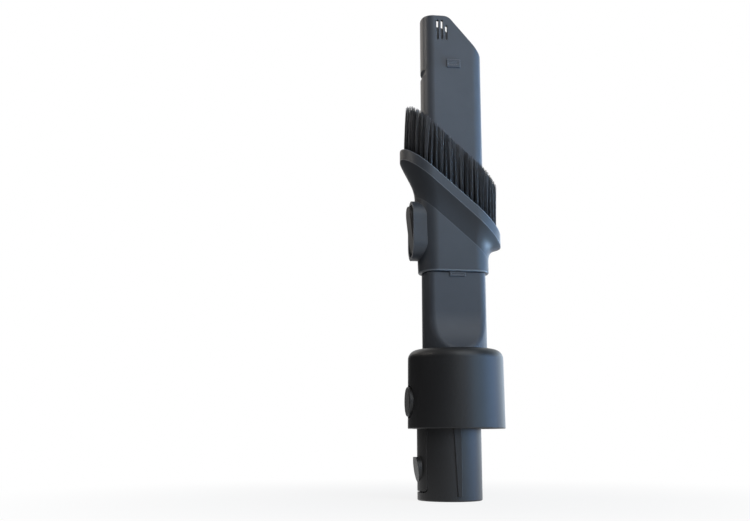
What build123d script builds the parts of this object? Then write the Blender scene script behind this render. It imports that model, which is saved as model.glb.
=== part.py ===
from build123d import *
import os
from math import sin, cos, tan, radians, sqrt, pi, atan2, degrees

os.makedirs("parts", exist_ok=True)

# Sizes in millimetres, +Z up towards the tip, front is -Y, button side is -X.
# The origin is the centre of the spigot's open end.

# Clearances
run_gap = 0.35        # sliding gap between the brush sleeve and the tube
seat_gap = 0.05       # seated pieces that don't move on each other
pin_press = 0.02      # pin held in its seat
pin_run = 0.06        # pin in a piece that turns on it
move_gap = 0.5        # gap round a pressed piece

# Spigot that goes into the wand
spigot_r = 17.0
wall = 2.0
eccentric = 3.8       # tube and collar axis, towards +X from the spigot's axis
spigot_edge = 0.7     # rounding of the spigot's end
bend_low_z = 46.0     # the airway steps across to the tube's axis between these heights
bend_top_z = 56.0
neck_step = 3.0       # height of the socket's floor above the airway's step
rib_right = 2.7       # guide rib on the spigot's front, its -X edge slanted
rib_left_top = -1.35
rib_left_low = 0.65
rib_low_z = 2.7
rib_proud = 0.95

# Collar
collar_low_z = 36.7
collar_up = 22.2      # collar's top, up from the airway's step
collar_r_low = 25.85
collar_r_top = 25.5
collar_shift = 0.3    # collar's axis, towards +X from the tube's
collar_wall = 2.2
shoulder_r = 5.0
deck_up = 11.5        # ring inside the collar that carries it and the lever's pin,
deck_h = 6.0          # up from the airway's step

# Release lever: button, tongue and catch in one
tongue_half = 9.6
tongue_low_z = 4.9
tongue_thick = 1.8
slot_gap = 0.5        # gap round the tongue
button_z = 50.7
button_r = 7.9
button_hole_r = 8.95
button_proud = 1.0
catch_r = 7.0
catch_z = 16.3
catch_top_z = 22.1
catch_proud = 1.7
lever_pin_x = -15.8
lever_pin_up = 14.5   # up from the airway's step
lever_pin_r = 1.0
knuckle_r = 1.9
knuckle_half = 7.7
ear_half = 8.2
pin_half = 10.1

# Flat tube
tube_r = 17.0         # half width of the tube
flat_half = 8.6       # half the depth between the tube's two flats
flat_edge_r = 6.0     # rounding along the flats
neck_r = 17.4         # the neck below the brush is a little fuller
neck_half = 9.7
neck_edge_r = 4.0
runout_top_z = 98.0   # the neck's flats curve out to a round below this
runout_r = 30.0
tip_z = 267.5
cut_x = -2.75         # where the slanted mouth starts, from the tube's axis
cut_angle = 49.3
cut_round = 6.0
airway_round_h = 7.0  # round part of the tube's airway, then the part where it flattens
airway_turn_h = 24.0
bleed_w = 1.25        # three bleed slots in the front wall
bleed_pitch = 2.5
bleed_first_x = -8.75
bleed_low = 14.5           # slot ends, down from the tip
bleed_top = 2.6
bleed_short = 5.7
stop_proud = 0.8      # raised stops on the front flat
stop_low_z = 117.2
stop_low_h = 2.3
stop_low_w = 8.5
stop_top = 30.8            # upper stop's foot, down from the tip
stop_top_h = 4.4
stop_top_w = 7.5

# Sliding brush
notch_top = 33.6           # upper latch notch, down from the tip
carrier_z = 119.8     # bottom of the sleeve at rest
carrier_r = 19.35     # half width of the sleeve
carrier_spine = 1.75  # how much further the button side reaches at the crease
carrier_half = 11.3   # half depth of the sleeve
slope = 41.2          # tilt of the brush plane, high on the button side
crease_h = 143.6      # height of the crease's oblique plane on the tube's axis
cove_h = 14.0         # from there up to the rim's lower edge, and the rim's own height
rim_h = 6.7
rim_left = 29.2
rim_right = 26.35
rim_half = 16.2
rim_wall = 2.0
rim_edge = 0.5
ring_up = 1.1         # seat of the brush ring, up from the rim's lower edge
ring_h = 4.6
ring_band = 4.15
tuft_r = 0.95
tuft_rows = (1.1, 3.0)     # centre of each row, in from the ring's outer edge
tuft_counts = (46, 40)
tuft_depth = 3.2           # how deep a tuft sits in the ring
bristle_h = 25.5           # trimmed plane of the bristle tips, up from the rim's upper edge

# Slide button in its boss
boss_half = 9.2
boss_low_z = 126.8
boss_top_z = 160.0
boss_x = -23.55            # boss end plane, from the tube's axis
boss_wall = 2.0
rocker_z = 143.4
rocker_pin_x = -21.4
rocker_pin_r = 1.0
rocker_end_gap = 0.9
rocker_top_proud = 2.1
rocker_low_proud = -0.9
pin_blind = 1.2
notch_z = 134.0            # the latch's resting notch, and one a stroke higher
notch_half = 2.3
notch_floor = 1.2          # half height of the notch's flat floor
notch_depth = 1.6
leaf_t = 0.5
leaf_half = 3.8
leaf_x = -18.2
leaf_grip = 3.2             # how far the leaf goes into its slit

# Worked out from the sizes above
ax = eccentric
cax = ax + collar_shift
bore_r = spigot_r - wall
neck_seat_z = bend_top_z + neck_step
collar_top_z = bend_top_z + collar_up
deck_low_z = bend_top_z + deck_up
deck_top_z = deck_low_z + deck_h
lever_pin_z = bend_top_z + lever_pin_up
airway_round_z = neck_seat_z + airway_round_h
airway_flat_z = airway_round_z + airway_turn_h
shoulder_z = stop_low_z + stop_low_h
stop_top_z = tip_z - stop_top
slide_travel = tip_z - notch_top - notch_z
rim_low_h = crease_h + cove_h
rim_top_h = rim_low_h + rim_h
ring_low_h = rim_low_h + ring_up
tip_h = rim_top_h + bristle_h
c_slope = cos(radians(slope))
s_slope = sin(radians(slope))


def oblique(h):
    # plane of the tilted brush at height h on the tube's axis
    return Plane((ax, 0, h), x_dir=(c_slope, 0, -s_slope), z_dir=(s_slope, 0, c_slope))


def stadium(left, right, half, left_c, right_c, k=1.0):
    # lines of a long outline with elliptical ends, stretched by k along its length
    EllipticalCenterArc((right_c * k, 0), (right - right_c) * k, half, start_angle=-90, arc_size=180)
    Line((right_c * k, half), (-left_c * k, half))
    EllipticalCenterArc((-left_c * k, 0), (left - left_c) * k, half, start_angle=90, arc_size=180)
    Line((-left_c * k, -half), (right_c * k, -half))


def flattened(r, half, edge_r):
    # lines of a round section with two flats and eased corners
    cx = sqrt((r - edge_r) ** 2 - (half - edge_r) ** 2)
    tx = cx * r / (r - edge_r)
    ty = (half - edge_r) * r / (r - edge_r)
    mx, my = cx, half - edge_r
    q = radians(45 + degrees(atan2(ty, tx)) / 2)
    ex, ey = mx + edge_r * cos(q), my + edge_r * sin(q)
    Line((-cx, -half), (cx, -half))
    ThreePointArc((cx, -half), (ex, -ey), (tx, -ty))
    ThreePointArc((tx, -ty), (r, 0), (tx, ty))
    ThreePointArc((tx, ty), (ex, ey), (cx, half))
    Line((cx, half), (-cx, half))
    ThreePointArc((-cx, half), (-ex, ey), (-tx, ty))
    ThreePointArc((-tx, ty), (-r, 0), (-tx, -ty))
    ThreePointArc((-tx, -ty), (-ex, -ey), (-cx, -half))


# Nozzle tube: round neck, flats with a curved run-out, slanted mouth
inner_half = flat_half - wall
inner_x = sqrt(bore_r ** 2 - inner_half ** 2)
run_end = neck_r + 2.0
run_c = 1 - (run_end - neck_half) / runout_r
run_s = sqrt(1 - run_c ** 2)
mid_s = sin(atan2(run_s, run_c) / 2)
mid_c = cos(atan2(run_s, run_c) / 2)
mouth_drop = (30 - cut_x) * tan(radians(cut_angle))
with BuildPart() as nozzle_tube:
    with BuildSketch(Plane((ax, 0, neck_seat_z + seat_gap))):
        Circle(neck_r)
    extrude(amount=shoulder_z - neck_seat_z - seat_gap)
    with BuildSketch(Plane((ax, 0, 0), x_dir=(0, 1, 0), z_dir=(1, 0, 0))):
        for s in (-1, 1):
            p0 = (s * neck_half, runout_top_z)
            p1 = (s * (neck_half + runout_r * (1 - mid_c)), runout_top_z - runout_r * mid_s)
            p2 = (s * run_end, runout_top_z - runout_r * run_s)
            with BuildLine():
                ThreePointArc(p0, p1, p2)
                Line(p2, (s * 30, p2[1]))
                Line((s * 30, p2[1]), (s * 30, shoulder_z + 5))
                Line((s * 30, shoulder_z + 5), (s * neck_half, shoulder_z + 5))
                Line((s * neck_half, shoulder_z + 5), p0)
            make_face()
    extrude(amount=30, both=True, mode=Mode.SUBTRACT)
    long_edges = [e for e in nozzle_tube.edges(Select.LAST) if e.center().Z < shoulder_z - 1]
    fillet(long_edges, radius=neck_edge_r)
    top_ring = [e for e in nozzle_tube.edges() if abs(e.center().Z - shoulder_z) < 0.01]
    chamfer(top_ring, length=0.3)
    # flat tube above the neck's shoulder
    with BuildSketch(Plane((ax, 0, shoulder_z - 1))):
        with BuildLine():
            flattened(tube_r, flat_half, flat_edge_r)
        make_face()
    extrude(amount=tip_z - shoulder_z + 1)
    with BuildSketch(Plane((ax, 0, 0), x_dir=(1, 0, 0), z_dir=(0, -1, 0))):
        with BuildLine():
            Polyline((cut_x, tip_z), (30, tip_z - mouth_drop), (30, tip_z + 5), (cut_x, tip_z + 5),
                     close=True)
        make_face()
    extrude(amount=30, both=True, mode=Mode.SUBTRACT)
    corner = [e for e in nozzle_tube.edges()
              if abs(e.center().X - ax - cut_x) < 0.1 and abs(e.center().Z - tip_z) < 0.1]
    fillet(corner, radius=cut_round)
    # airway: flat section above, round in the neck
    with BuildSketch(Plane((ax, 0, airway_flat_z))):
        with BuildLine():
            Line((-inner_x, -inner_half), (inner_x, -inner_half))
            ThreePointArc((inner_x, -inner_half), (bore_r, 0), (inner_x, inner_half))
            Line((inner_x, inner_half), (-inner_x, inner_half))
            ThreePointArc((-inner_x, inner_half), (-bore_r, 0), (-inner_x, -inner_half))
        make_face()
    extrude(amount=tip_z, mode=Mode.SUBTRACT)
    with BuildSketch(Plane((ax, 0, airway_flat_z))):
        with BuildLine():
            Line((-inner_x, -inner_half), (inner_x, -inner_half))
            ThreePointArc((inner_x, -inner_half), (bore_r, 0), (inner_x, inner_half))
            Line((inner_x, inner_half), (-inner_x, inner_half))
            ThreePointArc((-inner_x, inner_half), (-bore_r, 0), (-inner_x, -inner_half))
        make_face()
    with BuildSketch(Plane((ax, 0, airway_round_z))):
        with BuildLine():
            ThreePointArc((-inner_x, -inner_half), (0, -bore_r), (inner_x, -inner_half))
            ThreePointArc((inner_x, -inner_half), (bore_r, 0), (inner_x, inner_half))
            ThreePointArc((inner_x, inner_half), (0, bore_r), (-inner_x, inner_half))
            ThreePointArc((-inner_x, inner_half), (-bore_r, 0), (-inner_x, -inner_half))
        make_face()
    loft(mode=Mode.SUBTRACT)
    with BuildSketch(Plane((ax, 0, neck_seat_z - 1))):
        Circle(bore_r)
    extrude(amount=airway_round_z - neck_seat_z + 1, mode=Mode.SUBTRACT)
    # bleed slots in the front wall near the mouth
    with BuildSketch(Plane((ax, -flat_half - 1, 0), x_dir=(1, 0, 0), z_dir=(0, -1, 0))):
        for i, top in enumerate((bleed_top, bleed_top, bleed_short)):
            with Locations((bleed_first_x + i * bleed_pitch, tip_z - (bleed_low + top) / 2)):
                RectangleRounded(bleed_w, bleed_low - top, bleed_w * 0.45)
    extrude(amount=-(wall + 1.5), mode=Mode.SUBTRACT)
    # raised stops, each with a shallow slot in its face
    for z, h, w, face in ((stop_low_z, stop_low_h, stop_low_w, neck_half),
                          (stop_top_z, stop_top_h, stop_top_w, flat_half)):
        with BuildSketch(Plane((ax, -face + 0.4, 0), x_dir=(1, 0, 0), z_dir=(0, -1, 0))):
            with Locations((0, z + h / 2)):
                Rectangle(w, h)
        extrude(amount=stop_proud + 0.4)
        with BuildSketch(Plane((ax, -face - stop_proud, 0), x_dir=(1, 0, 0), z_dir=(0, -1, 0))):
            with Locations((0, z + h / 2)):
                Rectangle(w - 1.6, h * 0.4)
        extrude(amount=-0.2, mode=Mode.SUBTRACT)
    # latch notches across the button side
    with BuildSketch(Plane((ax, 0, 0), x_dir=(1, 0, 0), z_dir=(0, -1, 0))):
        for z in (notch_z, notch_z + slide_travel):
            out_half = notch_half + 0.6 * (notch_half - notch_floor) / notch_depth
            with BuildLine():
                Polyline((-tube_r + notch_depth, z + notch_floor), (-tube_r - 0.6, z + out_half),
                         (-tube_r - 0.6, z - out_half), (-tube_r + notch_depth, z - notch_floor), close=True)
            make_face()
    extrude(amount=20, both=True, mode=Mode.SUBTRACT)
nozzle_tube.part.label = "nozzle_tube"
export_step(nozzle_tube.part, "parts/nozzle_tube.step")

# Spigot: stepped airway, window for the tongue, socket for the neck, ring for the collar
socket_r = neck_r + seat_gap + 2.1
collar_in_top = collar_top_z - collar_wall
collar_in_r = collar_r_top - collar_wall
window_half = tongue_half + slot_gap
window_low_z = tongue_low_z - slot_gap - 0.2
window_top_z = bend_top_z - 0.9
with BuildPart() as coupling_spigot:
    with BuildSketch(Plane.XY):
        Circle(spigot_r)
    extrude(amount=bend_low_z)
    with BuildSketch(Plane((0, 0, bend_low_z))):
        Circle(spigot_r)
    with BuildSketch(Plane((ax, 0, bend_top_z))):
        Circle(spigot_r)
    loft()
    with BuildSketch(Plane((ax, 0, bend_top_z))):
        Circle(socket_r)
    extrude(amount=deck_top_z - bend_top_z)
    with BuildSketch(Plane((cax, 0, deck_low_z))):
        Circle(collar_in_r - seat_gap)
    extrude(amount=deck_top_z - deck_low_z)
    # guide rib, narrower towards the end
    with BuildSketch(Plane((0, -spigot_r + 1, 0), x_dir=(1, 0, 0), z_dir=(0, -1, 0))):
        with BuildLine():
            Polyline((rib_left_low, rib_low_z), (rib_right, rib_low_z),
                     (rib_right, collar_low_z + 4), (rib_left_top, collar_low_z + 4), close=True)
        make_face()
    extrude(amount=1 + rib_proud)
    end_edge = coupling_spigot.edges().filter_by(GeomType.CIRCLE).sort_by(Axis.Z)[0]
    fillet(end_edge, radius=spigot_edge)
    # airway
    with BuildSketch(Plane((0, 0, -1))):
        Circle(bore_r)
    extrude(amount=bend_low_z + 1, mode=Mode.SUBTRACT)
    with BuildSketch(Plane((0, 0, bend_low_z))):
        Circle(bore_r)
    with BuildSketch(Plane((ax, 0, bend_top_z))):
        Circle(bore_r)
    loft(mode=Mode.SUBTRACT)
    with BuildSketch(Plane((ax, 0, bend_top_z))):
        Circle(bore_r)
    extrude(amount=neck_seat_z - bend_top_z, mode=Mode.SUBTRACT)
    with BuildSketch(Plane((ax, 0, neck_seat_z))):
        Circle(neck_r + seat_gap)
    extrude(amount=deck_top_z, mode=Mode.SUBTRACT)
    # window for the tongue, and room for the lever beside the neck
    with BuildSketch(Plane.YZ.offset(-2 * spigot_r)):
        with Locations((0, (window_low_z + window_top_z) / 2)):
            RectangleRounded(2 * window_half, window_top_z - window_low_z, 2.4)
    extrude(amount=2 * spigot_r - bore_r / 2, mode=Mode.SUBTRACT)
    with BuildSketch(Plane.YZ.offset(-2 * spigot_r)):
        with Locations((0, (bend_top_z - 6 + deck_top_z + 2) / 2)):
            Rectangle(2 * ear_half, deck_top_z + 8 - bend_top_z)
    extrude(amount=2 * spigot_r - tube_r + ax + 0.4 * wall, mode=Mode.SUBTRACT)
    # seats of the lever's pin
    with BuildSketch(Plane.XZ):
        with Locations((lever_pin_x, lever_pin_z)):
            Circle(lever_pin_r + pin_press)
    extrude(amount=pin_half + 0.1, both=True, mode=Mode.SUBTRACT)
coupling_spigot.part.label = "coupling_spigot"
export_step(coupling_spigot.part, "parts/coupling_spigot.step")

# Collar: round shoulder, open below, button hole in its -X wall
with BuildPart() as coupling_collar:
    with BuildSketch(Plane((cax, 0, 0), x_dir=(1, 0, 0), z_dir=(0, -1, 0))):
        with BuildLine():
            Polyline((collar_r_low, collar_low_z), (collar_r_top, collar_top_z), (0, collar_top_z),
                     (0, collar_in_top), (collar_in_r, collar_in_top),
                     (collar_r_low - collar_wall, collar_low_z), close=True)
        make_face()
    revolve(axis=Axis((cax, 0, 0), (0, 0, 1)))
    top_edges = coupling_collar.edges().filter_by(GeomType.CIRCLE)
    outer_top = [e for e in top_edges if abs(e.radius - collar_r_top) < 0.01]
    fillet(outer_top, radius=shoulder_r)
    inner_top = [e for e in coupling_collar.edges().filter_by(GeomType.CIRCLE)
                 if abs(e.radius - collar_in_r) < 0.01 and abs(e.center().Z - collar_in_top) < 0.01]
    fillet(inner_top, radius=1.6)
    with BuildSketch(Plane((ax, 0, collar_in_top - 1))):
        Circle(neck_r + run_gap)
    extrude(amount=collar_wall + 2, mode=Mode.SUBTRACT)
    with BuildSketch(Plane.YZ.offset(-2 * collar_r_low)):
        with Locations((0, button_z)):
            Circle(button_hole_r)
    extrude(amount=2 * collar_r_low, mode=Mode.SUBTRACT)
    low_edges = [e for e in coupling_collar.edges().filter_by(GeomType.CIRCLE)
                 if abs(e.center().Z - collar_low_z) < 0.01]
    fillet(low_edges, radius=0.4)
coupling_collar.part.label = "coupling_collar"
export_step(coupling_collar.part, "parts/coupling_collar.step")

# Release lever: tongue, catch, strap, knuckle and button in one
collar_left = cax - (collar_r_low + (collar_r_top - collar_r_low)
                    * (button_z - collar_low_z) / (collar_top_z - collar_low_z))
button_x = collar_left - button_proud
strap_x = -spigot_r + tongue_thick
shell_top_z = window_top_z - 0.9
strap_z = bend_top_z - 6.0
with BuildPart() as release_lever:
    with BuildSketch(Plane((0, 0, tongue_low_z))):
        Circle(spigot_r)
        Circle(spigot_r - tongue_thick, mode=Mode.SUBTRACT)
        with Locations((-spigot_r / 2, 0)):
            Rectangle(spigot_r, 2 * tongue_half, mode=Mode.INTERSECT)
    extrude(amount=shell_top_z - tongue_low_z)
    with BuildSketch(Plane.YZ):
        with Locations((0, (tongue_low_z + shell_top_z) / 2)):
            RectangleRounded(2 * tongue_half, shell_top_z - tongue_low_z, 1.9)
    extrude(amount=-40, mode=Mode.INTERSECT)
    with BuildSketch(Plane.XZ):
        with Locations((lever_pin_x, lever_pin_z)):
            Circle(knuckle_r)
        with BuildLine():
            Polyline((-spigot_r + 0.4, strap_z), (strap_x - 0.05, strap_z), (lever_pin_x + 0.9, lever_pin_z),
                     (lever_pin_x - 0.9, lever_pin_z), close=True)
        make_face()
    extrude(amount=knuckle_half, both=True)
    with BuildSketch(Plane.YZ.offset(-spigot_r + 0.6)):
        with Locations((0, button_z)):
            Circle(button_r)
    extrude(amount=-(-spigot_r + 0.6 - button_x))
    face_edge = [e for e in release_lever.edges().filter_by(GeomType.CIRCLE)
                 if abs(e.center().X - button_x) < 0.01]
    fillet(face_edge, radius=0.8)
    with BuildSketch(Plane.YZ.offset(-spigot_r + 1.2)):
        with Locations((0, catch_z)):
            Circle(catch_r)
        with Locations((0, catch_top_z - 10)):
            Rectangle(4 * catch_r, 20, mode=Mode.INTERSECT)
    extrude(amount=-(catch_proud + 1.2))
    # slanted lead-in of the catch
    with BuildSketch(Plane.XZ):
        with BuildLine():
            Polyline((-spigot_r - catch_proud, catch_top_z), (-spigot_r - 0.05, catch_z - catch_r),
                     (-spigot_r - 0.05, tongue_low_z - 3), (-spigot_r - catch_proud - 3, tongue_low_z - 3),
                     (-spigot_r - catch_proud - 3, catch_top_z), close=True)
        make_face()
    extrude(amount=30, both=True, mode=Mode.SUBTRACT)
    with BuildSketch(Plane.XZ):
        with Locations((lever_pin_x, lever_pin_z)):
            Circle(lever_pin_r + pin_run)
    extrude(amount=30, both=True, mode=Mode.SUBTRACT)
release_lever.part.label = "release_lever"
export_step(release_lever.part, "parts/release_lever.step")

# Lever pin
with BuildPart() as lever_pin:
    with BuildSketch(Plane.XZ):
        with Locations((lever_pin_x, lever_pin_z)):
            Circle(lever_pin_r)
    extrude(amount=pin_half, both=True)
lever_pin.part.label = "lever_pin"
export_step(lever_pin.part, "parts/lever_pin.step")

# Lever spring: a bent leaf between the neck and the lever's strap
neck_left = ax - neck_r
leaf_a = neck_left - 0.35
spring_z = lever_pin_z - 10.9
with BuildPart() as lever_spring:
    with BuildSketch(Plane.XZ):
        with BuildLine():
            Polyline((leaf_a, spring_z), (leaf_a, spring_z + 6.4), (leaf_a - 0.7, spring_z + 6.4),
                     (strap_x + 0.2, spring_z + 0.8), (strap_x + 0.5, spring_z + 0.6),
                     (leaf_a - 0.45, spring_z + 5.9), (leaf_a - 0.3, spring_z + 5.9),
                     (leaf_a - 0.3, spring_z), close=True)
        make_face()
    extrude(amount=2.6, both=True)
lever_spring.part.label = "lever_spring"
export_step(lever_spring.part, "parts/lever_spring.step")

# Brush carrier: sleeve, concave flare and tilted rim, with the button's boss
k = 1 / c_slope
cove = ((0.0, 0.0, 0.0), (0.35, 0.12, 0.25), (0.65, 0.45, 0.55), (0.85, 0.78, 0.8), (1.0, 1.0, 1.0))
c0 = 10.0
c_left = rim_left - rim_half
c_right = rim_right - rim_half
left_0 = carrier_r + carrier_spine
with BuildPart() as brush_carrier:
    with BuildSketch(Plane((ax, 0, carrier_z))):
        with BuildLine():
            stadium(carrier_r, carrier_r, carrier_half, c0, c0)
        make_face()
    with BuildSketch(oblique(crease_h)):
        with BuildLine():
            stadium(left_0, carrier_r, carrier_half, c0, c0, k)
        make_face()
    loft()
    for f, fx, fy in cove:
        with BuildSketch(oblique(crease_h + f * (rim_low_h - crease_h))):
            with BuildLine():
                stadium(left_0 + fx * (rim_left - left_0), carrier_r + fx * (rim_right - carrier_r),
                        carrier_half + fy * (rim_half - carrier_half),
                        c0 + fx * (c_left - c0), c0 + fx * (c_right - c0), k)
            make_face()
    loft()
    with BuildSketch(oblique(rim_low_h)):
        with BuildLine():
            stadium(rim_left, rim_right, rim_half, c_left, c_right, k)
        make_face()
    extrude(amount=rim_top_h - rim_low_h, dir=(0, 0, 1))
    top_face = [f for f in brush_carrier.faces() if f.normal_at().Z > 0.7 and f.center().Z > crease_h]
    fillet(top_face[0].edges(), radius=rim_edge)
    low_face = brush_carrier.faces().sort_by(Axis.Z)[0]
    fillet(low_face.edges(), radius=0.8)
    # boss of the slide button
    boss_mid = (boss_low_z + boss_top_z) / 2
    boss_len = boss_top_z - boss_low_z
    with BuildSketch(Plane((ax + boss_x, 0, 0), x_dir=(0, 1, 0), z_dir=(1, 0, 0))):
        with Locations((0, boss_mid)):
            SlotOverall(boss_len, 2 * boss_half, rotation=90)
    extrude(amount=-boss_x - 12)
    # bore for the tube, and the recess of the brush ring
    with BuildSketch(Plane((ax, 0, carrier_z - 5))):
        with BuildLine():
            flattened(tube_r + run_gap, flat_half + run_gap, flat_edge_r + run_gap)
        make_face()
    extrude(amount=90, mode=Mode.SUBTRACT)
    with BuildSketch(oblique(ring_low_h - seat_gap)):
        with BuildLine():
            stadium(rim_left - rim_wall, rim_right - rim_wall, rim_half - rim_wall, c_left, c_right, k)
        make_face()
    extrude(amount=30, dir=(0, 0, 1), mode=Mode.SUBTRACT)
    # groove that lets the upper stop in, ended where the stop meets it
    groove_z = stop_top_z - slide_travel - 0.3
    with BuildSketch(Plane((ax, 0, groove_z))):
        with Locations((0, -flat_half)):
            Rectangle(stop_top_w + 1.0, 2 * (stop_proud + run_gap))
    extrude(amount=60, mode=Mode.SUBTRACT)
    # pocket of the button, open to the tube
    with BuildSketch(Plane((ax + boss_x - 1, 0, 0), x_dir=(0, 1, 0), z_dir=(1, 0, 0))):
        with Locations((0, boss_mid)):
            SlotOverall(boss_len - 2 * boss_wall, 2 * (boss_half - boss_wall), rotation=90)
    extrude(amount=-boss_x - 12, mode=Mode.SUBTRACT)
    # slit that holds the latch leaf's upper end
    with BuildSketch(Plane((ax + leaf_x, 0, boss_top_z - boss_wall - 3))):
        Rectangle(leaf_t + 2 * seat_gap, 2 * (leaf_half + seat_gap))
    extrude(amount=leaf_grip + 3.3, mode=Mode.SUBTRACT)
    # blind seats of the button's pin
    with BuildSketch(Plane.XZ):
        with Locations((ax + rocker_pin_x, rocker_z)):
            Circle(rocker_pin_r + pin_press)
    extrude(amount=boss_half - boss_wall + pin_blind + 0.1, both=True, mode=Mode.SUBTRACT)
brush_carrier.part.label = "brush_carrier"
export_step(brush_carrier.part, "parts/brush_carrier.step")


def row_points(inset, count):
    # tuft centres along one row, evenly spaced round the stadium
    r = rim_half - rim_wall - seat_gap - inset
    straight = c_left + c_right
    total = 2 * straight + 2 * pi * r
    pts = []
    for i in range(count):
        s = (i + 0.5) * total / count
        if s < straight:
            pts.append((-c_left + s, -r))
        elif s < straight + pi * r:
            a = (s - straight) / r - pi / 2
            pts.append((c_right + r * cos(a), r * sin(a)))
        elif s < 2 * straight + pi * r:
            pts.append((c_right - (s - straight - pi * r), r))
        else:
            a = (s - 2 * straight - pi * r) / r + pi / 2
            pts.append((-c_left + r * cos(a), r * sin(a)))
    return pts


def tuft_points(x, y, r):
    # corners of an eight-sided tuft section in the tilted plane
    return [((x + r * cos(a)) * k, y + r * sin(a)) for a in [radians(22.5 + 45 * i) for i in range(8)]]


# Brush ring: seated in the rim, with a blind hole for each tuft
ring_top_h = ring_low_h + ring_h
ring_in = rim_wall + seat_gap + ring_band
with BuildPart() as brush_ring:
    with BuildSketch(oblique(ring_low_h)):
        with BuildLine():
            stadium(rim_left - rim_wall - seat_gap, rim_right - rim_wall - seat_gap,
                    rim_half - rim_wall - seat_gap, c_left, c_right, k)
        make_face()
        with BuildLine():
            stadium(rim_left - ring_in, rim_right - ring_in, rim_half - ring_in, c_left, c_right, k)
        make_face(mode=Mode.SUBTRACT)
    extrude(amount=ring_h, dir=(0, 0, 1))
    with BuildSketch(oblique(ring_top_h - tuft_depth)):
        for inset, count in zip(tuft_rows, tuft_counts):
            for x, y in row_points(inset, count):
                with BuildLine():
                    Polyline(*tuft_points(x, y, tuft_r + seat_gap), close=True)
                make_face()
    extrude(amount=20, dir=(0, 0, 1), mode=Mode.SUBTRACT)
brush_ring.part.label = "brush_ring"
export_step(brush_ring.part, "parts/brush_ring.step")

# Bristle tufts, outer row
with BuildPart() as tufts_outer:
    with BuildSketch(oblique(ring_top_h - tuft_depth + seat_gap)):
        for x, y in row_points(tuft_rows[0], tuft_counts[0]):
            with BuildLine():
                Polyline(*tuft_points(x, y, tuft_r), close=True)
            make_face()
    extrude(amount=tip_h - ring_top_h + tuft_depth - seat_gap, dir=(0, 0, 1))
tufts_outer.part.label = "tufts_outer"
export_step(tufts_outer.part, "parts/tufts_outer.step")

# Bristle tufts, inner row
with BuildPart() as tufts_inner:
    with BuildSketch(oblique(ring_top_h - tuft_depth + seat_gap)):
        for x, y in row_points(tuft_rows[1], tuft_counts[1]):
            with BuildLine():
                Polyline(*tuft_points(x, y, tuft_r), close=True)
            make_face()
    extrude(amount=tip_h - ring_top_h + tuft_depth - seat_gap, dir=(0, 0, 1))
tufts_inner.part.label = "tufts_inner"
export_step(tufts_inner.part, "parts/tufts_inner.step")

# Slide button: a rocker on a pin, proud at its upper end
rocker_half = boss_half - boss_wall - move_gap
rocker_len = boss_len - 2 * boss_wall - 2 * rocker_end_gap
rocker_low = boss_mid - rocker_len / 2
rocker_top = boss_mid + rocker_len / 2
tab_z = notch_z - notch_half * (-leaf_x - leaf_t / 2 - tube_r + notch_depth - 0.3) / notch_depth - 0.25
with BuildPart() as slide_button:
    with BuildSketch(Plane((ax + leaf_x - 1.6, 0, 0), x_dir=(0, 1, 0), z_dir=(1, 0, 0))):
        with Locations((0, boss_mid)):
            SlotOverall(rocker_len, 2 * rocker_half, rotation=90)
    extrude(amount=-14)
    with BuildSketch(Plane((ax, 0, 0), x_dir=(1, 0, 0), z_dir=(0, -1, 0))):
        with BuildLine():
            Polyline((boss_x - rocker_low_proud, rocker_low), (boss_x - rocker_top_proud, rocker_top),
                     (boss_x - rocker_top_proud, rocker_top + 2), (boss_x - 20, rocker_top + 2),
                     (boss_x - 20, rocker_low - 2), (boss_x - rocker_low_proud, rocker_low - 2), close=True)
        make_face()
    extrude(amount=30, both=True, mode=Mode.SUBTRACT)
    outer = slide_button.faces().sort_by(Axis.X)[0].edges()
    fillet(outer, radius=0.7)
    with BuildSketch(Plane.XZ):
        with Locations((ax + rocker_pin_x, rocker_z)):
            Circle(rocker_pin_r + pin_run)
    extrude(amount=30, both=True, mode=Mode.SUBTRACT)
    # slot that takes the latch leaf's end tab
    with BuildSketch(Plane.XZ):
        with Locations((ax + leaf_x - 1.6, tab_z)):
            Rectangle(4.4, leaf_t + 0.3)
    extrude(amount=leaf_half + 0.3, both=True, mode=Mode.SUBTRACT)
slide_button.part.label = "slide_button"
export_step(slide_button.part, "parts/slide_button.step")

# Slide button's pin
with BuildPart() as slide_button_pin:
    with BuildSketch(Plane.XZ):
        with Locations((ax + rocker_pin_x, rocker_z)):
            Circle(rocker_pin_r)
    extrude(amount=boss_half - boss_wall + pin_blind, both=True)
slide_button_pin.part.label = "slide_button_pin"
export_step(slide_button_pin.part, "parts/slide_button_pin.step")

# Latch spring: a leaf whose bent nose drops into the tube's notch
nose_x = -tube_r + notch_depth - 0.3 - leaf_t / 2
rise = notch_half / notch_depth * (nose_x - leaf_x)
leaf_mid = ((leaf_x, boss_top_z - boss_wall + leaf_grip), (leaf_x, notch_z + rise), (nose_x, notch_z),
            (leaf_x, notch_z - rise), (leaf_x, tab_z - leaf_t / 2))
with BuildPart() as latch_spring:
    with BuildSketch(Plane((ax, 0, 0), x_dir=(1, 0, 0), z_dir=(0, -1, 0))):
        with BuildLine():
            Polyline(*[(x - leaf_t / 2, z) for x, z in leaf_mid],
                     *[(x + leaf_t / 2, z) for x, z in reversed(leaf_mid)], close=True)
        make_face()
        with Locations((leaf_x - 1.6, tab_z)):
            Rectangle(3.2, leaf_t)
    extrude(amount=leaf_half, both=True)
latch_spring.part.label = "latch_spring"
export_step(latch_spring.part, "parts/latch_spring.step")
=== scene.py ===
import math
import random

import bmesh
import bpy
from mathutils import Matrix, Vector


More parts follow.
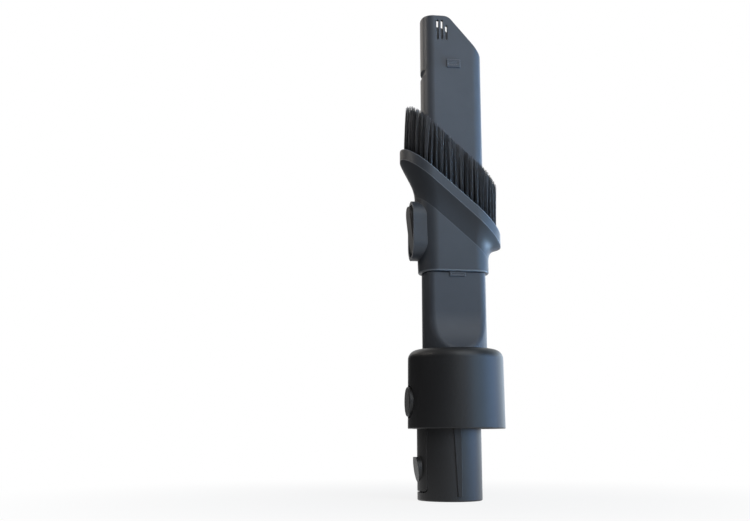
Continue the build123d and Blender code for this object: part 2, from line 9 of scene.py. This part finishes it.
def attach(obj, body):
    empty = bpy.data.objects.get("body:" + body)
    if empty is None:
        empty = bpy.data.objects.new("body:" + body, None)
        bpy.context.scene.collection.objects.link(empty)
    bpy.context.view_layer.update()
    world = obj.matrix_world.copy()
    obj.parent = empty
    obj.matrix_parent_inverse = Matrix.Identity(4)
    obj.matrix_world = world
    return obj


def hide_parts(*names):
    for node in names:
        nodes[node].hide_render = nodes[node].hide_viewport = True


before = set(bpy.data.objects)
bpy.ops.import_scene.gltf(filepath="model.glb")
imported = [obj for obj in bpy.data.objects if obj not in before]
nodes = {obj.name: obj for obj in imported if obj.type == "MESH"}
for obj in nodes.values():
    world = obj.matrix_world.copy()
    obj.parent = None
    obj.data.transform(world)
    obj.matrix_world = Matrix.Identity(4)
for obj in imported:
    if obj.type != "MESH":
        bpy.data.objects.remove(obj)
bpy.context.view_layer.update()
scene = bpy.context.scene

MM = 0.001
WHITE = (1.0, 1.0, 1.0)

# Axis of the flat tube, and slope of the brush's tilted plane
AXIS_X = 3.8 * MM
TILT = math.tan(math.radians(41.2))
# Heights of the brush carrier's rim and of the cove below it
RIM_H = 6.7 * MM
COVE_H = 14.0 * MM
# Airway of the tube, where painted shade goes: half its thickness, and the radius of its round sides
AIRWAY_HALF = 6.68 * MM
AIRWAY_R = 15.06 * MM
# Bleed slots, which are painted in shade too: reach from the tube's axis, reach in height, and half the
# thickness that they cut through
SLOTS_X = (-9.6 * MM, -2.9 * MM)
SLOTS_Z = (252.6 * MM, 265.2 * MM)
SLOTS_HALF = 8.5 * MM
# Floor that lies inside the spigot's open end
SPIGOT_SHADE_R = 16.2 * MM

# Moulded plastic: the mottling, the grain, the softened edges, and which of them count as outer edges, which
# get a painted highlight
MOTTLE_SCALE = 70.0
MOTTLE_STOPS = (0.35, 0.68)
GRAIN_DEPTH = 0.03 * MM
GLOSS_RANGE = 0.06
EDGE_R = 0.25 * MM
EDGE_REACH = 0.8 * MM
EDGE_SAMPLES = 6
EDGE_TURNED = (0.985, 0.86)
EDGE_FREE = (0.62, 0.90)
# paler colour painted on the slate's outer edges as a highlight
SLATE_EDGE_GLINT = (0.26, 0.28, 0.31)
# near black, painted on the tube's inner walls and in the bleed slots as shade
AIRWAY_PAINTED_SHADE = (0.006, 0.006, 0.007)

# Colour sockets of the Mix node
MIX_FACTOR, MIX_FIRST, MIX_SECOND, MIX_RESULT = 0, 6, 7, 2


class Graph:
    """Adds nodes to a node tree. An input takes a number, a colour or another node's output."""

    def __init__(self, tree):
        self.tree = tree

    def feed(self, target, value):
        if isinstance(value, bpy.types.NodeSocket):
            self.tree.links.new(value, target)
        elif target.type == "RGBA":
            target.default_value = (*value, 1)
        else:
            target.default_value = value

    def node(self, kind, inputs=None):
        made = self.tree.nodes.new(kind)
        for name, value in (inputs or {}).items():
            self.feed(made.inputs[name], value)
        return made

    def math(self, operation, *values, kind="ShaderNodeMath"):
        made = self.node(kind)
        made.operation = operation
        for target, value in zip(made.inputs, values):
            self.feed(target, value)
        return made.outputs["Value"]

    def ramp(self, value, start, end, low=0.0, high=1.0, curve="SMOOTHSTEP"):
        """The low number at the start, the high one at the end, and a run between them."""
        made = self.node("ShaderNodeMapRange", {"Value": value, "From Min": start, "From Max": end,
                                                "To Min": low, "To Max": high})
        made.interpolation_type = curve
        return made.outputs["Result"]

    def tones(self, value, dark, light, start=0.0, end=1.0):
        """A colour between two tones."""
        made = self.node("ShaderNodeValToRGB", {"Fac": value})
        for stop, position, colour in zip(made.color_ramp.elements, (start, end), (dark, light)):
            stop.position = position
            stop.color = (*colour, 1)
        return made.outputs["Color"]

    def blend(self, factor, first, second):
        """The first colour where the factor is 0, the second where it is 1."""
        made = self.node("ShaderNodeMix")
        made.data_type = "RGBA"
        for slot, value in ((MIX_FACTOR, factor), (MIX_FIRST, first), (MIX_SECOND, second)):
            self.feed(made.inputs[slot], value)
        return made.outputs[MIX_RESULT]

    def layer(self, factor, first, second):
        """The first shader where the factor is 0, the second where it is 1."""
        made = self.node("ShaderNodeMixShader")
        for target, value in zip(made.inputs, (factor, first, second)):
            self.feed(target, value)
        return made.outputs["Shader"]

    def seen_directly(self):
        """1 for rays from the camera, a reflection or a see-through surface, and 0 for soft bounces."""
        path = self.node("ShaderNodeLightPath").outputs
        mirrored = self.math("MAXIMUM", path["Is Camera Ray"], path["Is Glossy Ray"])
        return self.math("MAXIMUM", mirrored, path["Is Transmission Ray"])

    def split(self, place):
        return self.node("ShaderNodeSeparateXYZ", {"Vector": place}).outputs


def material(name):
    """A new material, the graph of its nodes and the inputs of its main shader."""
    made = bpy.data.materials.new(name)
    made.use_nodes = True
    return made, Graph(made.node_tree), made.node_tree.nodes["Principled BSDF"].inputs


def in_airway(graph, place):
    """1 on the tube's inner walls and in the bleed slots, which get painted shade, 0 outside."""
    def all_of(*masks):
        result = masks[0]
        for mask in masks[1:]:
            result = graph.math("MULTIPLY", result, mask)
        return result

    def within(value, reach):
        return all_of(graph.math("GREATER_THAN", value, reach[0]), graph.math("LESS_THAN", value, reach[1]))

    at = graph.split(place)
    x = graph.math("SUBTRACT", at["X"], AXIS_X)
    y = graph.math("ABSOLUTE", at["Y"])
    squares = graph.math("ADD", graph.math("MULTIPLY", x, x), graph.math("MULTIPLY", y, y))
    far = graph.math("SQRT", squares)
    bore = all_of(graph.math("LESS_THAN", y, AIRWAY_HALF), graph.math("LESS_THAN", far, AIRWAY_R))
    slots = all_of(within(x, SLOTS_X), within(at["Z"], SLOTS_Z), graph.math("LESS_THAN", y, SLOTS_HALF))
    return graph.math("MAXIMUM", bore, slots)


def plastic(name, dark, light, edge_glint, rough, spec, grain, bump, painted_airway_shade=False, bright_edges=()):
    """Moulded plastic: faint mottling, fine grain in the gloss, softened edges with a painted highlight of a
    paler colour.
    Each bright edge is a band of painted highlight: a slope, a height above the plane of that slope, half a
    width and a strength."""
    mat, graph, shader = material(name)
    place = graph.node("ShaderNodeTexCoord").outputs["Object"]
    mottle = graph.node("ShaderNodeTexNoise", {"Vector": place, "Scale": MOTTLE_SCALE, "Detail": 4.0})
    colour = graph.tones(mottle.outputs["Fac"], dark, light, *MOTTLE_STOPS)
    grains = graph.node("ShaderNodeTexNoise", {"Vector": place, "Scale": grain, "Detail": 3.0})
    fine = grains.outputs["Fac"]
    gloss = graph.ramp(fine, 0.0, 1.0, rough - GLOSS_RANGE, rough + GLOSS_RANGE, "LINEAR")
    bevel = graph.node("ShaderNodeBevel", {"Radius": EDGE_R})
    bevel.samples = EDGE_SAMPLES
    soft = bevel.outputs["Normal"]
    relief = graph.node("ShaderNodeBump", {"Strength": bump, "Distance": GRAIN_DEPTH,
                                           "Height": fine, "Normal": soft})

    # painted highlight on outer edges: a paler colour where the softened normal departs from the true one
    # and nothing stands close by
    true = graph.node("ShaderNodeNewGeometry").outputs["Normal"]
    agree = graph.math("DOT_PRODUCT", true, soft, kind="ShaderNodeVectorMath")
    turned = graph.ramp(agree, *EDGE_TURNED, curve="LINEAR")
    room = graph.node("ShaderNodeAmbientOcclusion", {"Distance": EDGE_REACH})
    room.samples = EDGE_SAMPLES
    free = graph.ramp(room.outputs["AO"], *EDGE_FREE, curve="LINEAR")
    colour = graph.blend(graph.math("MULTIPLY", turned, free), colour, edge_glint)

    # painted highlight: paler bands along edges that catch the light all round
    for slope, middle, half, strength in bright_edges:
        at = graph.split(place)
        height = graph.math("MULTIPLY_ADD", at["X"], slope, at["Z"])
        away = graph.math("ABSOLUTE", graph.math("SUBTRACT", height, middle))
        colour = graph.blend(graph.ramp(away, half, 0.0, high=strength), colour, edge_glint)
    # painted shade: the tube's inner walls and bleed slots are painted near black
    if painted_airway_shade:
        colour = graph.blend(in_airway(graph, place), colour, AIRWAY_PAINTED_SHADE)

    graph.feed(shader["Specular IOR Level"], spec)
    graph.feed(shader["Base Color"], colour)
    graph.feed(shader["Roughness"], gloss)
    graph.feed(shader["Normal"], relief.outputs["Normal"])
    return mat


def steel(name):
    """Spring steel with a fine grain in its tone and gloss."""
    mat, graph, shader = material(name)
    place = graph.node("ShaderNodeTexCoord").outputs["Object"]
    grain = graph.node("ShaderNodeTexNoise", {"Vector": place, "Scale": 900.0}).outputs["Fac"]
    graph.feed(shader["Metallic"], 1.0)
    graph.feed(shader["Base Color"], graph.tones(grain, (0.45, 0.45, 0.46), (0.65, 0.65, 0.66)))
    graph.feed(shader["Roughness"], graph.ramp(grain, 0.0, 1.0, 0.25, 0.4, "LINEAR"))
    return mat


def bristle_fibre(name):
    """Nylon fibre: each strand's tone, with its painted sheen and painted shade towards the root, is on its
    mesh.
    """
    mat, graph, shader = material(name)
    tone = graph.node("ShaderNodeAttribute")
    tone.attribute_name = "tone"
    graph.feed(shader["Roughness"], 0.55)
    graph.feed(shader["Specular IOR Level"], 0.25)
    graph.feed(shader["Base Color"], tone.outputs["Color"])
    return mat


# Painted highlights on the brush carrier: paler bands along its lower end, the rim's two edges and the
# cove's foot, which catch the light
carrier_points = [v.co for v in nodes["brush_carrier"].data.vertices]
carrier_low = min(p.z for p in carrier_points)
rim_top = max(p.z + p.x * TILT for p in carrier_points)
carrier_painted_glints = (
    (0.0, carrier_low + 0.45 * MM, 0.65 * MM, 0.8),
    (TILT, rim_top - 0.35 * MM, 0.6 * MM, 0.45),
    (TILT, rim_top - RIM_H + 0.15 * MM, 0.45 * MM, 0.4),
    (TILT, rim_top - RIM_H - COVE_H - 0.1 * MM, 0.45 * MM, 0.15),
)

# the fourth colour of each plastic is the painted highlight on its outer edges
slate = plastic("slate", (0.0520, 0.0584, 0.0705), (0.0592, 0.0663, 0.0797), SLATE_EDGE_GLINT,
                rough=0.47, spec=0.42, grain=2600.0, bump=0.25, painted_airway_shade=True)
carrier_slate = plastic("carrier_slate", (0.0468, 0.0535, 0.0640), (0.0535, 0.0606, 0.0721), SLATE_EDGE_GLINT,
                        rough=0.45, spec=0.42, grain=2600.0, bump=0.25, bright_edges=carrier_painted_glints)
charcoal = plastic("charcoal", (0.0190, 0.0193, 0.0206), (0.0220, 0.0224, 0.0240), (0.15, 0.155, 0.165),
                   rough=0.40, spec=0.42, grain=2200.0, bump=0.2)
button = plastic("button_grey", (0.026, 0.026, 0.0265), (0.031, 0.031, 0.0315), (0.17, 0.171, 0.174),
                 rough=0.45, spec=0.4, grain=2200.0, bump=0.25)
metal = steel("spring_steel")
fibre = bristle_fibre("fibre")

finishes = {
    "nozzle_tube": slate,
    "brush_carrier": carrier_slate,
    "brush_ring": charcoal,
    "coupling_spigot": charcoal,
    "coupling_collar": charcoal,
    "release_lever": button,
    "slide_button": button,
    "lever_pin": metal,
    "lever_spring": metal,
    "slide_button_pin": metal,
    "latch_spring": metal,
    "tufts_outer": fibre,
    "tufts_inner": fibre,
}
for name, mat in finishes.items():
    data = nodes[name].data
    data.materials.clear()
    data.materials.append(mat)


# Bristles: sizes in mm
ROOT_R = 0.9
ROOT_SUNK = 0.6
FAN = 0.85
DRIFT = 0.12
LEAN, LEAN_SPREAD = 1.5, 0.14
TRIM_SHORT, TRIM_MORE, TRIM_SPREAD = 0.35, 1.35, 0.12
TIP_RAGGED = 0.28
STRAND_R = (0.10, 0.15)
# Bristles: how much longer a swept tip is for each mm of its sweep, and how thin a strand is at its tip
SWEEP_TRIM = 1.4
TIP_THIN = 0.55
# Bristles: mm to the left of the tube's axis, over which they come to lean and to stand longer
LEAN_REACH = (2.0, 25.0)
TRIM_REACH = (-20.0, 20.0)
# Bristles: tones of tufts and strands, the share of strands with a painted sheen and how much brighter it
# paints them, the fibre's colour, and the painted shade towards the roots
CLUMP_TONE = (0.6, 1.3)
STRAND_SHADE = (0.45, 1.25)
PAINTED_SHEEN_SHARE, PAINTED_SHEEN_TONE = 0.18, 2.4
STRAND_TONE = (0.0950, 0.0965, 0.1040)
ROOT_PAINTED_SHADE = 0.35
# Bristles: points along a strand, its sides, and how late it bends
STRAND_LEVELS = (0.0, 0.35, 0.7, 1.0)
STRAND_SIDES = 3
BEND = 1.6


def share(value, start, end):
    """0 before start, 1 after end."""
    return min(max((value - start) / (end - start), 0.0), 1.0)


def tufts_of(node):
    """Centre, low height and high height of each tuft, heights taken along the tilted plane."""
    data = nodes[node].data
    seen, owner = {}, []
    for v in data.vertices:
        key = tuple(round(c, 6) for c in v.co)
        owner.append(seen.setdefault(key, len(seen)))
    parent = list(range(len(seen)))

    def find(i):
        while parent[i] != i:
            parent[i] = parent[parent[i]]
            i = parent[i]
        return i

    for e in data.edges:
        a, b = (find(owner[i]) for i in e.vertices)
        parent[a] = b
    groups = {}
    for point, i in seen.items():
        groups.setdefault(find(i), []).append(point)
    found = []
    for points in groups.values():
        cx = sum(p[0] for p in points) / len(points)
        cy = sum(p[1] for p in points) / len(points)
        heights = [p[2] + (p[0] - AXIS_X) * TILT for p in points]
        found.append((cx, cy, min(heights), max(heights)))
    return sorted(found, key=lambda t: (math.atan2(t[1], t[0] - AXIS_X), t[0]))


def strand(bm, tone, base, sway, z_root, z_tip, thick, turn, shade):
    """One fibre, which bends over towards its tip and has painted shade that darkens it towards its root."""
    rings = []
    for t in STRAND_LEVELS:
        centre = base + sway * (t ** BEND)
        z = z_root + (z_tip - z_root) * t
        r = thick * (1.0 if t < 1 else TIP_THIN)
        # painted shade: darker towards the root, deep in the tuft
        g = shade * (ROOT_PAINTED_SHADE + (1 - ROOT_PAINTED_SHADE) * t)
        ring = []
        for k in range(STRAND_SIDES):
            q = turn + 2 * math.pi * k / STRAND_SIDES
            v = bm.verts.new((centre.x + r * math.cos(q), centre.y + r * math.sin(q), z))
            v[tone] = (*(c * g for c in STRAND_TONE), 1)
            ring.append(v)
        rings.append(ring)
    for lower, upper in zip(rings, rings[1:]):
        for k in range(STRAND_SIDES):
            after = (k + 1) % STRAND_SIDES
            bm.faces.new((lower[k], lower[after], upper[after], upper[k]))
    bm.faces.new(rings[-1])
    bm.faces.new(list(reversed(rings[0])))


def bristles(name, node, per_tuft, seed, sweep):
    """Loose strands that stand in each tuft's place, fanned a little and ragged at the tips.
    Sweep is how many mm further the tips at the left end lean over."""
    rng = random.Random(seed)
    bm = bmesh.new()
    tone = bm.verts.layers.float_color.new("tone")
    for cx, cy, low, high in tufts_of(node):
        left = (AXIS_X - cx) / MM
        out = share(left, *LEAN_REACH)
        swept = sweep * out * out
        lean = Vector((rng.gauss(0, LEAN_SPREAD) + LEAN * out + swept, rng.gauss(0, LEAN_SPREAD))) * MM
        clump = rng.uniform(*CLUMP_TONE)
        trim = TRIM_SHORT + TRIM_MORE * share(left, *TRIM_REACH) + SWEEP_TRIM * swept
        trim += rng.gauss(0, TRIM_SPREAD)
        for _ in range(per_tuft):
            a, d = rng.uniform(0, 2 * math.pi), math.sqrt(rng.random())
            outward = Vector((math.cos(a), math.sin(a))) * (d * MM)
            base = Vector((cx, cy)) + outward * ROOT_R
            drift = Vector((rng.gauss(0, DRIFT), rng.gauss(0, DRIFT))) * MM
            tip_h = high + (trim - abs(rng.gauss(0, TIP_RAGGED))) * MM
            thick = rng.uniform(*STRAND_R) * MM
            shade = clump * rng.uniform(*STRAND_SHADE)
            # painted sheen: some strands painted brighter, as if catching the light
            if rng.random() < PAINTED_SHEEN_SHARE:
                shade *= PAINTED_SHEEN_TONE
            turn = rng.uniform(0, 2 * math.pi)
            sway = outward * FAN + lean + drift
            z_root = low + ROOT_SUNK * MM - (base.x - AXIS_X) * TILT
            z_tip = tip_h - (base.x + sway.x - AXIS_X) * TILT
            strand(bm, tone, base, sway, z_root, z_tip, thick, turn, shade)
    data = bpy.data.meshes.new(name)
    bm.to_mesh(data)
    bm.free()
    data.materials.append(fibre)
    for p in data.polygons:
        p.use_smooth = True
    piece = bpy.data.objects.new(name, data)
    scene.collection.objects.link(piece)
    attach(piece, "brush")
    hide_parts(node)


bristles("bristles_outer", "tufts_outer", per_tuft=46, seed=11, sweep=0.7)
bristles("bristles_inner", "tufts_inner", per_tuft=36, seed=12, sweep=0.0)


def floor_material():
    """White where it is looked at, apart from the object's shadow, and dull for soft bounces of light."""
    mat, graph, _ = material("floor")
    tree = mat.node_tree
    tree.nodes.remove(tree.nodes["Principled BSDF"])
    pale = graph.node("ShaderNodeBsdfDiffuse", {"Color": (0.9, 0.9, 0.9)}).outputs["BSDF"]
    dull = graph.node("ShaderNodeBsdfDiffuse", {"Color": (0.22, 0.22, 0.225)}).outputs["BSDF"]
    place = graph.node("ShaderNodeTexCoord").outputs["Object"]

    # reflections of the floor fade towards the dark left side; the camera sees it white
    fade = graph.ramp(graph.split(place)["X"], -0.30, -0.06, 0.10, 1.0)
    viewed = graph.node("ShaderNodeLightPath").outputs["Is Camera Ray"]
    strength = graph.math("MAXIMUM", viewed, fade)
    glow = graph.node("ShaderNodeEmission", {"Strength": strength}).outputs["Emission"]

    # the shadow shows near the object, and the floor inside the spigot's open end is in its shade
    reach = graph.math("LENGTH", place, kind="ShaderNodeVectorMath")
    outside = graph.math("GREATER_THAN", reach, SPIGOT_SHADE_R)
    glowing = graph.math("MULTIPLY", graph.ramp(reach, 0.03, 0.3, 0.86, 1.0), outside)
    shown = graph.layer(glowing, pale, glow)
    whole = graph.layer(graph.seen_directly(), dull, shown)
    graph.feed(tree.nodes["Material Output"].inputs["Surface"], whole)
    return mat


bm = bmesh.new()
bmesh.ops.create_circle(bm, cap_ends=True, segments=96, radius=6.0)
floor_mesh = bpy.data.meshes.new("floor")
bm.to_mesh(floor_mesh)
bm.free()
floor_mesh.materials.append(floor_material())
floor = bpy.data.objects.new("floor", floor_mesh)
scene.collection.objects.link(floor)

# World: white to the camera; in reflections white behind the object, dark low on the left, cool on the right
world = bpy.data.worlds.new("studio")
scene.world = world
world.use_nodes = True
graph = Graph(world.node_tree)
way = graph.split(graph.node("ShaderNodeTexCoord").outputs["Generated"])

toward_back = graph.ramp(way["Y"], 0.42, 0.74)
not_left = graph.ramp(graph.math("MULTIPLY_ADD", way["Z"], 0.8, way["X"]), -0.22, 0.05)
toward_right = graph.ramp(way["X"], 0.0, 0.7)
far_right = graph.ramp(way["X"], 0.35, 0.65)
upward = graph.ramp(way["Z"], 0.24, 0.50)
low_right = graph.math("MULTIPLY", graph.ramp(way["X"], 0.78, 0.97), graph.ramp(way["Z"], 0.22, 0.06))

left_side = graph.blend(upward, (0.02, 0.02, 0.022), (0.36, 0.345, 0.33))
low_front = graph.blend(low_right, (0.52, 0.82, 1.35), (1.6, 3.0, 6.2))
right_front = graph.blend(upward, low_front, (0.22, 0.26, 0.31))
right_back = graph.blend(upward, (2.5, 3.0, 3.55), (0.85, 0.98, 1.06))
right_side = graph.blend(graph.ramp(way["Y"], -0.1, 0.5), right_front, right_back)
around = graph.blend(toward_right, left_side, right_side)
behind = graph.blend(far_right, WHITE, right_back)
mirrored = graph.blend(graph.math("MULTIPLY", toward_back, not_left), around, behind)

# the soft light that the world gives
soft_side = graph.blend(toward_right, (0.05, 0.05, 0.052), (0.22, 0.28, 0.38))
soft_light = graph.blend(toward_back, soft_side, (0.28, 0.285, 0.30))

lit = graph.blend(graph.seen_directly(), soft_light, mirrored)
viewed = graph.node("ShaderNodeLightPath").outputs["Is Camera Ray"]
background = world.node_tree.nodes["Background"].inputs
graph.feed(background["Color"], graph.blend(viewed, lit, WHITE))
graph.feed(background["Strength"], 1.0)

# Lamps: place, aim, width and height in metres, watts, colour, spread in degrees
LAMPS = {
    "key": ((0.25, -0.85, 0.75), (0, 0, 0.17), (1.0, 1.0), 6.6, (0.93, 0.97, 1.0), 180),
    "cool_side": ((0.8, -0.50, 0.12), (0, 0, 0.08), (1.2, 0.36), 3.8, (0.45, 0.72, 1.0), 180),
    "low_cool": ((0.27, -0.04, 0.02), (0.02, 0, 0.145), (0.25, 0.25), 0.38, (0.46, 0.71, 1.0), 22),
    "warm_edge": ((-0.25, 0.36, 0.42), (0, 0, 0.24), (0.2, 0.2), 0.012, (1.0, 0.90, 0.80), 35),
    "warm_side": ((-0.48, 0.02, 0.50), (0, 0, 0.26), (0.25, 0.25), 0.06, (1.0, 0.93, 0.86), 28),
}
for name, (place, aim, size, power, colour, spread) in LAMPS.items():
    light = bpy.data.lights.new(name, "AREA")
    light.shape = "RECTANGLE"
    light.size, light.size_y = size
    light.energy = power
    light.color = colour
    light.spread = math.radians(spread)
    lamp = bpy.data.objects.new(name, light)
    lamp.location = place
    lamp.rotation_euler = (Vector(aim) - Vector(place)).to_track_quat("-Z", "Y").to_euler()
    lamp.visible_camera = False
    scene.collection.objects.link(lamp)

# Camera fitted to the photograph: place, and the directions that it looks in and has to its right
EYE = Vector((-105.07, -488.0, 31.0)) * MM
forward = Vector((0.1307, 0.9730, 0.1904)).normalized()
right = Vector((0.9911, -0.1331, 0.0)).normalized()
up = right.cross(forward).normalized()
lens = bpy.data.cameras.new("camera")
lens.sensor_fit = "HORIZONTAL"
lens.sensor_width = 36.0
lens.lens = 44.35
lens.clip_start = 0.01
lens.clip_end = 50.0
camera = bpy.data.objects.new("camera", lens)
scene.collection.objects.link(camera)
camera.matrix_world = Matrix((
    (right.x, up.x, -forward.x, EYE.x),
    (right.y, up.y, -forward.y, EYE.y),
    (right.z, up.z, -forward.z, EYE.z),
    (0, 0, 0, 1),
))
scene.camera = camera
scene.view_settings.view_transform = "Standard"
